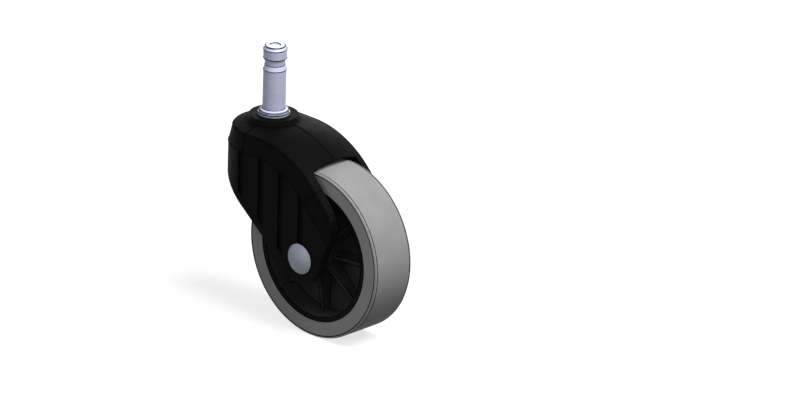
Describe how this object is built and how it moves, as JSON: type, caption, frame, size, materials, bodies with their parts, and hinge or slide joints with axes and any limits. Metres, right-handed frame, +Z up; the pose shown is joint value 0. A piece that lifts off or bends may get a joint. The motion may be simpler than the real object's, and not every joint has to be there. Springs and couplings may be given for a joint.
{
  "type": "swivel caster",
  "caption": "Swivel caster with a push-in grip-ring stem, a moulded black hood that forms the fork, and a grey rubber-tyred wheel on a ribbed core.",
  "frame": {"origin": "on the stem's axis, where its plain shank starts above the eight-sided collar", "axes": "+Z up along the stem towards its free end; +X the way the wheel trails; Y along the axle"},
  "size_m": [0.0922, 0.044, 0.1206],
  "materials": {
    "stem_steel": "satin",
    "spring_steel": "satin",
    "axle_steel": "satin",
    "hood_plastic": "fine satin grain",
    "core_plastic": "satin",
    "bush_plastic": "smooth",
    "tyre": "matte"
  },
  "bodies": {
    "stem": {"stem": "stem_steel", "grip_ring": "spring_steel", "stem_washer": "spring_steel", "stem_retaining_ring": "spring_steel"},
    "hood": {"hood": "hood_plastic", "upper_swivel_bush": "bush_plastic", "lower_swivel_bush": "bush_plastic", "axle": "axle_steel", "axle_sleeve": "axle_steel", "near_spacer": "bush_plastic", "far_spacer": "bush_plastic", "push_nut": "spring_steel", "axle_cap": "axle_steel"},
    "wheel": {"wheel_core": "core_plastic", "tyre": "tyre", "near_wheel_bush": "bush_plastic", "far_wheel_bush": "bush_plastic"}
  },
  "joints": [
    {"name": "swivel", "type": "hinge", "parent": "stem", "child": "hood", "pos_m": [0, 0, -0.00275], "axis": [0, 0, 1], "continuous": true},
    {"name": "wheel_spin", "type": "hinge", "parent": "hood", "child": "wheel", "pos_m": [0.0355, 0, -0.05435], "axis": [0, 1, 0], "continuous": true}
  ]
}
